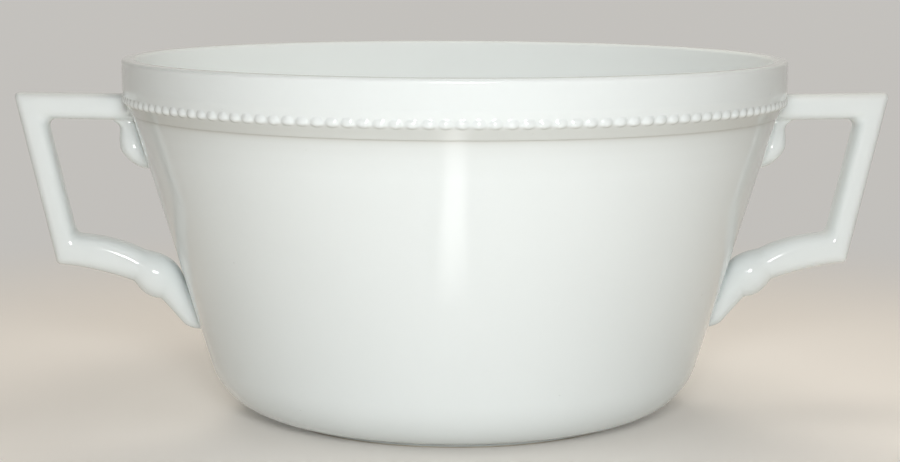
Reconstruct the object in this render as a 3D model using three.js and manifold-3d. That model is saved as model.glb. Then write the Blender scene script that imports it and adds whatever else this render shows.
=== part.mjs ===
// Cream soup bowl of glazed white porcelain: a tapered bowl with a beaded collar and two angular handles.
// Millimetres, +Z up. The origin is the centre of the foot ring, on the table, and the handles lie along X.
import * as THREE from "three";
import { mergeVertices } from "three/addons/utils/BufferGeometryUtils.js";
import Module from "manifold-3d";

const wasm = await Module();
wasm.setup();

// Bowl
const RIM_DIAMETER = 112;
const HEIGHT = 60.7;
const WALL = 3.2; // square to the wall
const WALL_LEAN = 16.75; // degrees from upright
const LIP_RISE = 1.1; // height of the rounded lip
const BASE_ROUND = 11.4; // outside, between the wall and the base
const WELL_ROUND = 10; // inside, between the wall and the floor
const FLOOR = 3.2;

// Foot ring
const FOOT_DIAMETER = 61;
const FOOT_WIDTH = 3.4;
const FOOT_HEIGHT = 1.0; // table to the base outside the ring
const FOOT_HOLLOW = 1.7; // table to the underside within the ring
const FOOT_EDGE = 0.4; // bevel of the ring's edges

// Collar below the rim, from the top down: plain face, curl that carries the beads, undercut to the wall
const COLLAR_FACE = 5.1;
const CURL_HEIGHT = 2.45;
const CURL_DEPTH = 0.7; // face in to the curl's foot
const UNDERCUT_HEIGHT = 1.6;
const UNDERCUT_DEPTH = 0.9; // curl's foot in to the wall
const BEAD_HEIGHT = 1.75;
const BEAD_WIDTH = 2.3;
const BEAD_RELIEF = 0.85; // from a bead's middle to its crest
const BEAD_CREST = 0.03; // how far the crests stand out from the face
const BEAD_COUNT = 144;

// Handle: a level bar, a leaning upright and an arm that falls to a knuckle and a tail
const HANDLE_REACH = 18.6; // rim to the outermost corner
const HANDLE_DEPTH = 7.0; // across, along Y
const HANDLE_DROP = 28.9; // bar's top to the lower corner's underside
const BAR_DROP = 6.3; // rim to the bar's top
const BAR_THICKNESS = 4.4;
const UPRIGHT_THICKNESS = 4.3;
const UPRIGHT_LEAN = 13.0; // degrees from upright
const ARM_THICKNESS = 5.4;
const ARM_SLOPE = 5; // degrees below level, at the lower corner
const ARM_FALL = 3.0; // underside, from the lower corner to the knuckle
const CORNER_ROUND = 0.9; // outer corners
const GRIP_ROUND = 1.3; // corners of the finger gap

// Knuckle and tail, with distances measured out from the wall
const KNUCKLE_STANDOFF = 9.0; // where the arm's underside meets the knuckle
const KNUCKLE_FALL = 3.0; // underside, from there to the tail
const KNUCKLE_RISE = 5.3; // from there up to the knuckle's top
const KNUCKLE_TOP_STANDOFF = 4.8;
const KNUCKLE_DEPTH = 8.2;
const KNUCKLE_SKEW = 0.4; // share of the knuckle's width, from its outside, at which it is fullest
const HEEL_STANDOFF = 1.4; // where the knuckle's top turns down behind it
const HEEL_RISE = 4.0;
const TOUCH_RISE = 0.4; // where the back of the tail meets the wall
const TAIL_STANDOFF = 5.4; // where the knuckle's underside meets the tail
const TAIL_FALL = 5.5; // from there to the tip
const TAIL_DEPTH = 6.6; // across, at the knuckle
const TIP_STANDOFF = 2.3;
const TIP_DEPTH = 2.8;

// Leaf that hangs from the bar's root, against the wall
const LEAF_LENGTH = 8.4; // bar's underside to the tip
const LEAF_STANDOFF = 4.2; // thickest point to the wall
const LEAF_DEPTH = 7.0;
const LEAF_NECK_STANDOFF = 2.6;
const LEAF_NECK_DEPTH = 4.4;
const LEAF_FLARE = 1.4; // round between the neck and the bar
const LEAF_BELLY = 3.2; // tip up to the thickest point
const LEAF_TIP_ROUND = 4.2; // height over which the tip closes
const LEAF_END_STANDOFF = 0.2;
const LEAF_END_DEPTH = 0.8;
const LEAF_BITE = 0.8; // how far the uncut leaf runs into the wall

// Seats: liquid clay joins each handle to the bowl at the bar's root, behind the leaf and at the tail
const SLIP = 0.5; // layer's thickness
const SLIP_SQUEEZE = 0.25; // how far the layer stands out round the handle
const SLIP_LEAF_TOP = 0.9; // bar's underside to the top of the leaf's layer
const SEAT_GAP = 0.3; // clearance on each side of the layer
const BITE = 2.0; // how far the uncut handle runs into the bowl

// Facets
const SEGMENTS = BEAD_COUNT / 2;
const SECTION_SIDES = 14;
const SECTION_POWER = 2.5; // 2 is an ellipse, and more is squarer
const ARC_STEPS = 6;
const CURVE_STEPS = 6;
const CURL_STEPS = 3;
const BEAD_SIDES = 6;
const BEAD_RINGS = 4;

const GLAZED_PORCELAIN = new THREE.MeshStandardMaterial({ color: 0xe8eae6, roughness: 0.12, metalness: 0 });
const FIRED_SLIP = new THREE.MeshStandardMaterial({ color: 0xe2e3de, roughness: 0.2, metalness: 0 });

const point = (x, y) => new THREE.Vector2(x, y);
const polar = (angle) => point(Math.cos(angle), Math.sin(angle));
const radians = THREE.MathUtils.degToRad;
const lerp = THREE.MathUtils.lerp;

// Heights and radii that several pieces share
const rimRadius = RIM_DIAMETER / 2;
const curlTop = HEIGHT - COLLAR_FACE;
const curlFoot = curlTop - CURL_HEIGHT;
const ledge = curlFoot - UNDERCUT_HEIGHT;
const curlFootRadius = rimRadius - CURL_DEPTH;
const wallTopRadius = curlFootRadius - UNDERCUT_DEPTH;
const crestRadius = rimRadius + BEAD_CREST;
const lean = radians(WALL_LEAN);
const wallAcross = WALL / Math.cos(lean); // the wall's thickness, measured level
const wallRadius = (height) => wallTopRadius - (ledge - height) * Math.tan(lean);
const innerRadius = (height) => wallRadius(height) - wallAcross;
const barTop = HEIGHT - BAR_DROP;
const barUnderside = barTop - BAR_THICKNESS;

// A geometry as a manifold solid: only its places count, and shared corners are merged
function solid(geometry) {
  const bare = geometry.clone();
  bare.deleteAttribute("normal");
  bare.deleteAttribute("uv");
  const merged = mergeVertices(bare);
  return new wasm.Manifold(
    new wasm.Mesh({
      numProp: 3,
      vertProperties: new Float32Array(merged.attributes.position.array),
      triVerts: new Uint32Array(merged.index.array),
    }),
  );
}

// A manifold solid as a flat-shaded geometry
function geometryOf(body) {
  const { vertProperties, triVerts } = body.getMesh();
  const indexed = new THREE.BufferGeometry();
  indexed.setAttribute("position", new THREE.BufferAttribute(vertProperties, 3));
  indexed.setIndex(new THREE.BufferAttribute(triVerts, 1));
  const flat = indexed.toNonIndexed();
  flat.computeVertexNormals();
  return flat;
}

// Points of an ellipse's arc, from one angle to the other
function arc(centre, across, up, from, to) {
  return Array.from({ length: ARC_STEPS + 1 }, (_, i) => {
    const turn = polar(lerp(from, to, i / ARC_STEPS));
    return point(centre.x + across * turn.x, centre.y + up * turn.y);
  });
}

// A curve that leaves one point towards the control and arrives at the other from it
const bend = (from, control, to) => new THREE.QuadraticBezierCurve(from, control, to);

// A body of revolution about Z from a profile of (radius, height)
const revolve = (profile) => solid(new THREE.LatheGeometry(profile, SEGMENTS).rotateX(Math.PI / 2));

// Centre of the round between a leaning wall and a level floor, on the side of the bowl's axis
function roundCentre(radiusAt, level, round) {
  const height = level + round;
  return point(radiusAt(height) - round / Math.cos(lean), height);
}

// Underside, foot ring, base and wall, up to the collar
function outsideProfile() {
  const footOuter = FOOT_DIAMETER / 2;
  const footInner = footOuter - FOOT_WIDTH;
  const centre = roundCentre(wallRadius, FOOT_HEIGHT, BASE_ROUND);
  // The round ends where it meets the foot ring, or at its lowest point
  const footShare = Math.max(0, (footOuter - centre.x) / BASE_ROUND);
  const roundStart = -Math.PI / 2 + Math.asin(Math.min(footShare, Math.cos(lean)));
  const base = arc(centre, BASE_ROUND, BASE_ROUND, roundStart, -lean);
  return [
    point(0, FOOT_HOLLOW),
    point(footInner - FOOT_EDGE, FOOT_HOLLOW),
    point(footInner, FOOT_HOLLOW - FOOT_EDGE),
    point(footInner, FOOT_EDGE),
    point(footInner + FOOT_EDGE, 0),
    point(footOuter - FOOT_EDGE, 0),
    point(footOuter, FOOT_EDGE),
    point(footOuter, base[0].y),
    ...base.filter((place) => place.x > footOuter),
  ];
}

// Undercut and curl of the collar, from the wall up to the plain face
function collarProfile() {
  const foot = point(curlFootRadius, curlFoot);
  const curl = bend(foot, point(rimRadius, (curlFoot + curlTop) / 2), point(rimRadius, curlTop));
  return [point(wallTopRadius, ledge), ...curl.getPoints(CURL_STEPS)];
}

// Lip, rolled over from the face to the inside of the wall
function lipProfile() {
  const lipBase = HEIGHT - LIP_RISE;
  const lipHalf = (rimRadius - innerRadius(lipBase)) / 2;
  return arc(point(rimRadius - lipHalf, lipBase), lipHalf, LIP_RISE, 0, Math.PI);
}

// Inside of the wall, the round of the well and the floor, from the lip down
function insideProfile() {
  const floor = FOOT_HOLLOW + FLOOR;
  const centre = roundCentre(innerRadius, floor, WELL_ROUND);
  return [...arc(centre, WELL_ROUND, WELL_ROUND, -lean, -Math.PI / 2), point(0, floor)];
}

// Row of beads, left out where a handle's root is luted on
function beads() {
  const bead = new THREE.SphereGeometry(1, BEAD_SIDES, BEAD_RINGS);
  bead.rotateZ(-Math.PI / 2);
  bead.scale(BEAD_RELIEF, BEAD_WIDTH / 2, BEAD_HEIGHT / 2);
  bead.translate(crestRadius - BEAD_RELIEF, 0, curlFoot + BEAD_HEIGHT / 2);
  const seatHalf = HANDLE_DEPTH / 2 + SLIP_SQUEEZE + SEAT_GAP + BEAD_WIDTH / 2;
  return Array.from({ length: BEAD_COUNT }, (_, i) => ((i + 0.5) / BEAD_COUNT) * 2 * Math.PI)
    .filter((turn) => Math.abs(crestRadius * Math.sin(turn)) > seatHalf)
    .map((turn) => solid(bead.clone().rotateZ(turn)));
}

function bowlBody() {
  const shell = revolve([...outsideProfile(), ...collarProfile(), ...lipProfile(), ...insideProfile()]);
  return beads().reduce((body, bead) => body.add(bead), shell);
}

// Bowl's outside envelope, without beads and grown by a clearance: what a handle's seat is cut to
function envelope(clearance) {
  const across = clearance / Math.cos(lean);
  const top = HEIGHT + clearance;
  const outside = [point(wallRadius(0), 0), ...collarProfile(), point(rimRadius, top)];
  const grown = outside.map((place) => point(place.x + across, place.y));
  return revolve([point(0, 0), ...grown, point(0, top)]);
}

// One section of a handle, between an outer and an inner point of its side view
const station = (outer, inner, depth) => ({ outer, inner, depth });

// Point where two lines cross, each given by a point and the direction of its normal
function crossing(placeA, angleA, placeB, angleB) {
  const a = polar(angleA);
  const b = polar(angleB);
  const scale = a.x * b.y - a.y * b.x;
  const offsetA = placeA.dot(a);
  const offsetB = placeB.dot(b);
  return point((offsetA * b.y - offsetB * a.y) / scale, (a.x * offsetB - b.x * offsetA) / scale);
}

// Sections that turn a corner between two normals, rounded on both sides
function corner(outer, inner, from, to, depth) {
  const a = polar(from);
  const b = polar(to);
  const inwards = a.clone().add(b).divideScalar(1 + a.dot(b));
  const outerRound = arc(
    outer.clone().addScaledVector(inwards, -CORNER_ROUND), CORNER_ROUND, CORNER_ROUND, from, to,
  );
  const innerRound = arc(
    inner.clone().addScaledVector(inwards, -GRIP_ROUND), GRIP_ROUND, GRIP_ROUND, from, to,
  );
  return outerRound.map((place, i) => station(place, innerRound[i], depth));
}

// Sections between two curves of the side view, with a depth for each share of the way
function between(under, upper, depthAt) {
  return Array.from({ length: CURVE_STEPS }, (_, i) => {
    const share = (i + 1) / CURVE_STEPS;
    return station(under.getPoint(share), upper.getPoint(share), depthAt(share));
  });
}

// Side view of a handle, in the plane of X and Z: sections of the bar, and of the rest of the grip
function gripStations() {
  const up = Math.PI / 2;
  const out = -radians(UPRIGHT_LEAN);
  const down = -Math.PI / 2 + radians(ARM_SLOPE);
  const armUnderside = barTop - HANDLE_DROP;

  const tip = point(rimRadius + HANDLE_REACH, barTop);
  const tipInner = tip.clone().addScaledVector(polar(out), -UPRIGHT_THICKNESS);
  const elbow = crossing(tip, out, point(0, armUnderside), -Math.PI / 2);
  const elbowInner = elbow.clone().addScaledVector(polar(down), -ARM_THICKNESS);
  const upperInner = crossing(point(0, barUnderside), up, tipInner, out);
  const lowerInner = crossing(elbowInner, down, tipInner, out);

  const rootRadius = rimRadius - BITE;
  const root = station(point(rootRadius, barTop), point(rootRadius, barUnderside), HANDLE_DEPTH);
  const upper = corner(tip, upperInner, up, out, HANDLE_DEPTH);
  const lower = corner(elbow, lowerInner, out, down, HANDLE_DEPTH);
  return { bar: [root, ...upper], rest: [...lower, ...armStations(lower.at(-1), down)] };
}

// Arm, knuckle and tail, from the last section of the lower corner to the tip against the wall
function armStations(start, normal) {
  const offWall = (height, standoff) => point(wallRadius(height) + standoff, height);
  const along = polar(normal - Math.PI / 2);
  const notchHeight = start.outer.y - ARM_FALL;
  const tailHeight = notchHeight - KNUCKLE_FALL;
  const tipHeight = tailHeight - TAIL_FALL;
  const notch = offWall(notchHeight, KNUCKLE_STANDOFF);
  const tail = offWall(tailHeight, TAIL_STANDOFF);
  const end = offWall(tipHeight, TIP_STANDOFF);
  const endInner = offWall(tipHeight, -BITE);
  const top = offWall(notchHeight + KNUCKLE_RISE, KNUCKLE_TOP_STANDOFF);
  const heel = offWall(notchHeight + HEEL_RISE, HEEL_STANDOFF);
  const touch = offWall(notchHeight + TOUCH_RISE, 0);
  const behind = heel.clone().lerp(touch, 0.5);

  // The arm leaves the corner along its own line and bends down halfway to the knuckle
  const halfArm = (start.outer.x - notch.x) / 2;
  const armUnder = bend(start.outer, start.outer.clone().addScaledVector(along, halfArm), notch);
  const armUpper = bend(start.inner, start.inner.clone().addScaledVector(along, halfArm), top);
  const arm = between(armUnder, armUpper, () => HANDLE_DEPTH);

  // The knuckle's top runs straight to the heel and turns down behind it
  const fullest = point(lerp(notch.x, tail.x, KNUCKLE_SKEW), tail.y);
  const toHeel = new THREE.LineCurve(top, heel);
  const fromHeel = new THREE.LineCurve(heel, behind);
  const overHeel = {
    getPoint: (share) => (share < 0.5 ? toHeel.getPoint(2 * share) : fromHeel.getPoint(2 * share - 1)),
  };
  const swell = (share) => Math.sin(Math.PI * share) * (KNUCKLE_DEPTH - HANDLE_DEPTH);
  const knuckle = between(
    bend(notch, fullest, tail),
    overHeel,
    (share) => lerp(HANDLE_DEPTH, TAIL_DEPTH, share) + swell(share),
  );
  const taper = between(
    new THREE.LineCurve(tail, end),
    bend(behind, touch, endInner),
    (share) => lerp(TAIL_DEPTH, TIP_DEPTH, share),
  );
  return [...arm, ...knuckle, ...taper];
}

// Leaf: a drop that is narrow at the bar, swells and rounds off at its tip
function leafStations() {
  const neck = barUnderside + BAR_THICKNESS / 2;
  const swellTop = barUnderside + BAR_THICKNESS / 4;
  const tip = barUnderside - LEAF_LENGTH;
  const steps = 2 * CURVE_STEPS;
  return Array.from({ length: steps + 1 }, (_, i) => {
    const height = lerp(neck, tip, i / steps);
    const closing = Math.max(0, 1 - (height - tip) / LEAF_TIP_ROUND);
    const close = Math.sqrt(1 - closing ** 2);
    const swell = THREE.MathUtils.smoothstep(-height, -swellTop, -tip - LEAF_BELLY);
    const fall = barUnderside - height;
    const flare = fall < 0 ? 0 : LEAF_FLARE * Math.max(0, 1 - fall / LEAF_FLARE) ** 2;
    const standoff = lerp(LEAF_NECK_STANDOFF, LEAF_STANDOFF, swell) * close + flare;
    const depth = lerp(LEAF_NECK_DEPTH, LEAF_DEPTH, swell) * close;
    const wall = wallRadius(height);
    return station(
      point(wall + Math.max(LEAF_END_STANDOFF, standoff), height),
      point(wall - LEAF_BITE, height),
      Math.max(LEAF_END_DEPTH, depth),
    );
  });
}

// A section's ring of points: a squarish oval across the side view and along Y
function ring({ outer, inner, depth }, grow) {
  const middle = outer.clone().add(inner).multiplyScalar(0.5);
  const half = outer.clone().sub(inner).multiplyScalar(0.5);
  const across = half.length() + grow;
  half.normalize();
  const squarish = (value) => Math.sign(value) * Math.abs(value) ** (2 / SECTION_POWER);
  return Array.from({ length: SECTION_SIDES }, (_, i) => {
    const turn = polar(((i + 0.5) / SECTION_SIDES) * 2 * Math.PI);
    const reach = across * squarish(turn.x);
    const side = (depth / 2 + grow) * squarish(turn.y);
    return new THREE.Vector3(middle.x + half.x * reach, side, middle.y + half.y * reach);
  });
}

// A closed solid through the sections' rings, with a flat cap at each end
function loft(stations, grow = 0) {
  const rings = stations.map((section) => ring(section, grow));
  const middles = [rings[0], rings.at(-1)].map((places) =>
    places.reduce((sum, place) => sum.add(place), new THREE.Vector3()).divideScalar(SECTION_SIDES),
  );
  const places = [...rings.flat(), ...middles];
  const [firstMiddle, lastMiddle] = [places.length - 2, places.length - 1];
  const lastRing = (rings.length - 1) * SECTION_SIDES;
  const faces = [];
  for (let side = 0; side < SECTION_SIDES; side++) {
    const next = (side + 1) % SECTION_SIDES;
    faces.push(firstMiddle, side, next, lastMiddle, lastRing + next, lastRing + side);
    for (let row = 0; row < lastRing; row += SECTION_SIDES) {
      const ahead = row + SECTION_SIDES;
      faces.push(row + side, ahead + next, row + next, row + side, ahead + side, ahead + next);
    }
  }
  const geometry = new THREE.BufferGeometry().setFromPoints(places);
  geometry.setIndex(faces);
  return solid(geometry);
}

// Everything below a height, as a cutting block
function below(height) {
  const size = 4 * RIM_DIAMETER;
  return solid(new THREE.BoxGeometry(size, size, size).translate(0, 0, height - size / 2));
}

// One handle and its three layers of slip, on the +X side
function handleSolids() {
  const { bar, rest } = gripStations();
  const grip = [...bar, ...rest];
  const leaf = leafStations();
  const seat = envelope(SEAT_GAP + SLIP + SEAT_GAP);
  const layer = envelope(SEAT_GAP + SLIP).subtract(envelope(SEAT_GAP));
  const bedded = (stations) => loft(stations, SLIP_SQUEEZE).intersect(layer);
  return {
    handle: loft(grip).add(loft(leaf)).subtract(seat),
    root_slip: bedded(bar),
    leaf_slip: bedded(leaf).intersect(below(barUnderside - SLIP_LEAF_TOP)),
    tail_slip: bedded(rest),
  };
}

function piece(name, body, material) {
  const mesh = new THREE.Mesh(geometryOf(body), material);
  mesh.name = name;
  return mesh;
}

const bowl = new THREE.Group();
bowl.add(piece("bowl_body", bowlBody(), GLAZED_PORCELAIN));
const { handle, ...slips } = handleSolids();
for (const [side, turn] of [["right", 0], ["left", Math.PI]]) {
  const arm = new THREE.Group();
  arm.rotation.z = turn;
  arm.add(piece(`handle_${side}`, handle, GLAZED_PORCELAIN));
  for (const [seat, body] of Object.entries(slips)) arm.add(piece(`${side}_${seat}`, body, FIRED_SLIP));
  bowl.add(arm);
}

export default bowl;
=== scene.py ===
"""Cream soup bowl of glazed white porcelain, with a bead border and two angular handles."""
import math

import bmesh
import bpy
import numpy as np
from bpy.props import FloatProperty, FloatVectorProperty, IntProperty, PointerProperty
from mathutils import Matrix, Vector


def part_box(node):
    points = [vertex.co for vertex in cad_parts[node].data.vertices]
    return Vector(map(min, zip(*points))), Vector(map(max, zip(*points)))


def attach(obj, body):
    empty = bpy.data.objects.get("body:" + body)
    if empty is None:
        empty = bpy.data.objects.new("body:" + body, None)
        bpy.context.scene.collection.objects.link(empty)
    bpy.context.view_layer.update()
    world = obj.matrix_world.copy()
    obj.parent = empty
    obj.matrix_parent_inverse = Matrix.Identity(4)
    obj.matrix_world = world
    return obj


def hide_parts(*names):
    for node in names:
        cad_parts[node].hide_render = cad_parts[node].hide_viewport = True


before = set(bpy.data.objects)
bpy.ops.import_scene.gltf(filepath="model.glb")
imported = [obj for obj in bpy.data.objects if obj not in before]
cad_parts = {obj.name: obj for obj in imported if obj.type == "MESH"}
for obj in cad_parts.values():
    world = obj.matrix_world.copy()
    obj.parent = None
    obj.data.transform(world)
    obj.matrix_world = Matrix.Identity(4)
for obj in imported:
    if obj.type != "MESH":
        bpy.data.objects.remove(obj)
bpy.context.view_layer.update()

bl_info = {
    "name": "Cream Soup Bowl",
    "version": (1, 0, 0),
    "blender": (4, 5, 0),
    "location": "3D View > Sidebar > Soup Bowl",
    "description": "Makes a two-handled porcelain soup bowl around its CAD frame",
    "category": "Add Mesh",
}

MM = 0.001
BOWL_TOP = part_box("bowl_body")[1]
HANDLE_LOW, HANDLE_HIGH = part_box("handle_right")
SIDES = {"right": 0.0, "left": math.pi}

# Turned meshes
LONG_RUN = 2 * MM  # a straight run of the profile that is braced near its ends
BRACES = np.array((0.1, 0.3, 0.6, 1.2, 3.0, 6.0)) * MM  # from each end of such a run
WELD = 0.002 * MM  # points closer than this become one
BARE_SHARE = 0.75  # share of a face's corners past which its clay is bare
BED_REACH = 0.3 * MM  # how far behind the beads' middles the band still rises into beads

# Painted shade that falls under the collar and in the hollow below the beads, with some glaze pooled in the
# crease, as a share of the darkest, by millimetres above the ledge
POOL_AND_SHADE_DEPTHS = {-6.0: 0, -3.0: 0.12, -1.2: 0.3, -0.6: 0.48, -0.3: 0.68, 0.0: 1, 0.3: 0.8}
POOL_AND_SHADE_AT_CURL = 0.85
POOL_AND_SHADE_END = 0.7 * MM  # above the foot of the curl
POOL_AND_SHADE_WEIGHT = 0.45  # how much of a hollow the darkest painted shade and pooled glaze count as
SKIN = 0.2 * MM  # within this of the wall's radius a point is on the outside
HOLLOW_SIZE = 0.25 * MM  # twice the radius of a hollow that counts in full
HOLLOW_PASSES = 4  # times that the measured hollows are evened out
SHORTEST_EDGE = 1e-7  # keeps a zero length out of a division

# Handles, before they are luted on: stations along them, and shares and allowances of their clay
CORNER_STEPS = 12
RUN_STEPS = 24
LEAF_STEPS = 40
KNUCKLE_SKEW = 0.4  # share of the knuckle's width, from its outside, at which it is fullest
TAIL_BLUNT = 0.2  # share of the tail over which its tip is rounded off
TIP_LEAST = 0.3  # share of its depth that the tip keeps
LEAF_BLUNT = 0.4  # share of the leaf over which its tip is rounded off
LEAF_NECK = 0.1  # share of the leaf that is as narrow as its neck
LEAF_SWELL = 0.6  # share of the leaf over which it swells
LEAF_BITE = 0.8 * MM  # how far the leaf's clay runs into the wall
LEAF_END_OUT = 0.15 * MM  # what the very tip keeps of its thickness
LEAF_END_DEPTH = 0.6 * MM  # and of its depth

# Luted seats: where each one starts and ends, up and down the wall
ROOT_BELOW_LEDGE = 0.3 * MM
ROOT_ABOVE_BAR = 2.5 * MM
LEAF_BELOW_TIP = 2.0 * MM
LEAF_BELOW_LEDGE = 0.8 * MM
TAIL_BELOW_TIP = 2.5 * MM
TAIL_ABOVE_TIP = 13.5 * MM
# Clay of the wall that a handle is softened into: its margin in the seat, half its width and its two faces
PATCH_MARGIN = 0.3 * MM
PATCH_HALF = 8 * MM
PATCH_FACES = (-0.15 * MM, -1.3 * MM)
# Block that cuts a seat off its handle: half its width and its two faces, outwards from the wall
CUTTER_HALF = 11 * MM
CUTTER_FACES = (0.75 * MM, -2.4 * MM)
CRUMB = 100  # a cut piece with fewer points than this is waste
SHARP = math.radians(55)  # an edge that turns further than this stays sharp

# Stage, in metres: each lamp's place, the point that it shines at, and its width and height
KEY_LAMP = (0, -0.36, 0.122), (0, 0, 0.035), (0.13, 0.085)
TOP_LAMP = (0.04, 0.03, 0.22), (0, 0.03, 0), (0.14, 0.14)
BACK_LAMP = (-0.2, 0.95, 0.6), (0, 0, 0.04), (0.7, 0.5)
STRIP_LAMP = (-0.004, -0.099, 0.001), (-0.004, -0.099, 1.0), (0.015, 0.056)
FLOOR_RADIUS = 8.0
FLOOR_SIDES = 64
# Camera, fitted to the bowl's rim, ledge, base and wall
CAMERA_PLACE = (-15.55 * MM, -369.67 * MM, 81.6 * MM)
CAMERA_YAW = math.radians(-2.3)
CAMERA_PITCH = math.radians(7.812)  # below level
CAMERA_ROLL = 0.0038  # radians
CAMERA_LENS = 87.1  # millimetres
CAMERA_SENSOR = 36.0  # millimetres
CAMERA_NEAR = 0.01


def linear(hex_colour):
    """An sRGB hex colour as linear red, green and blue."""
    values = [int(hex_colour[i : i + 2], 16) / 255 for i in (1, 3, 5)]
    return tuple(v / 12.92 if v <= 0.04045 else ((v + 0.055) / 1.055) ** 2.4 for v in values)


def length(name, millimetres, description):
    """A size property, given in millimetres."""
    return FloatProperty(
        name=name, description=description, default=millimetres * MM, unit="LENGTH", precision=5
    )


def angle(name, degrees, description):
    """An angle property, given in degrees."""
    return FloatProperty(
        name=name, description=description, default=math.radians(degrees), subtype="ANGLE"
    )


def colour(name, hex_colour, description):
    """A colour property, given as an sRGB hex value."""
    return FloatVectorProperty(
        name=name, description=description, default=linear(hex_colour), subtype="COLOR",
        min=0.0, max=1.0,
    )


def amount(name, value, description):
    """A plain number property."""
    return FloatProperty(name=name, description=description, default=value, precision=4)


class BowlSizes(bpy.types.PropertyGroup):
    """Sizes of the bowl, its collar and its foot ring."""

    rim_radius: length("Rim radius", BOWL_TOP.x / MM, "Bowl's axis to the collar's face")
    height: length("Height", BOWL_TOP.z / MM, "Table to the top of the lip")
    wall: length("Wall", 3.2, "Thickness square to the wall")
    lean: angle("Wall lean", 16.75, "Lean of the wall from upright")
    lip_outer: length("Lip outside", 0.65, "Radius of the lip's outer edge")
    lip_inner: length("Lip inside", 0.8, "Radius of the lip's inner edge")
    base_round: length("Base round", 11.4, "Radius outside, between wall and base")
    well_round: length("Well round", 10.0, "Radius inside, between wall and floor")
    floor: length("Floor", 3.2, "Thickness of the floor within the foot ring")
    foot_radius: length("Foot radius", 30.5, "Bowl's axis to the outside of the foot ring")
    foot_width: length("Foot width", 3.4, "Width of the foot ring")
    foot_height: length("Foot height", 1.0, "Table to the base outside the ring")
    foot_hollow: length("Foot hollow", 1.7, "Table to the underside within the ring")
    foot_draft_in: length("Inner draft", 0.3, "How far the ring's inside leans")
    foot_draft_out: length("Outer draft", 0.2, "How far the ring's outside leans")
    foot_edge: length("Foot edge", 0.5, "Radius of the ring's edges on the table")
    foot_cove: length("Foot cove", 0.7, "Radius between the underside and the ring's inside")
    foot_root: length("Foot root", 0.35, "Radius between the ring's outside and the base")
    wiped: length("Wiped foot", 0.25, "Height up to which the ring is wiped bare of glaze")
    face: length("Collar face", 4.75, "Rim to where the face curls under")
    curl: length("Curl", 2.8, "Height of the curl behind the beads")
    curl_depth: length("Curl depth", 0.65, "Face to the foot of the curl")
    curl_power: amount("Curl power", 1.3, "How late the curl comes out to the face: 1 is soonest")
    hollow: length("Hollow", 1.6, "Height of the hollow below the beads")
    hollow_depth: length("Hollow depth", 0.75, "Foot of the curl in to the ledge")
    hollow_sag: amount("Hollow sag", 0.15, "How far the hollow sags, as a share of its depth")
    step: length("Ledge", 0.2, "Edge of the ledge in to the wall")
    ledge_edge: length("Ledge edge", 0.1, "Radius of the ledge's edge")
    ledge_cove: length("Ledge cove", 0.16, "Radius between the ledge and the wall")
    segments: IntProperty(name="Segments", description="Facets round the bowl", default=300)


class BeadSizes(bpy.types.PropertyGroup):
    """Sizes of the row of beads."""

    count: IntProperty(name="Beads", description="Beads round the bowl", default=144)
    height: length("Height", 1.75, "Height of a bead")
    width: length("Width", 2.46, "Width of a bead, along the row")
    relief: length("Relief", 0.85, "A bead's middle out to its crest")
    crest: length("Crest", 0.05, "How far a bead's crest stands out from the face")
    melt: length("Melt", 0.12, "How far the glaze softens the notch beside a bead")
    bed: length("Bed", 0.8, "Thickness of the clay behind the beads' middles")
    bed_proud: length("Bed proud", 0.02, "How far the bed stands out at the foot of the curl")
    bed_sunk: length("Bed sunk", 0.04, "How far the bed is sunk at the top of the curl")
    columns: IntProperty(name="Columns", description="Facets along one bead", default=8)


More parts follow.
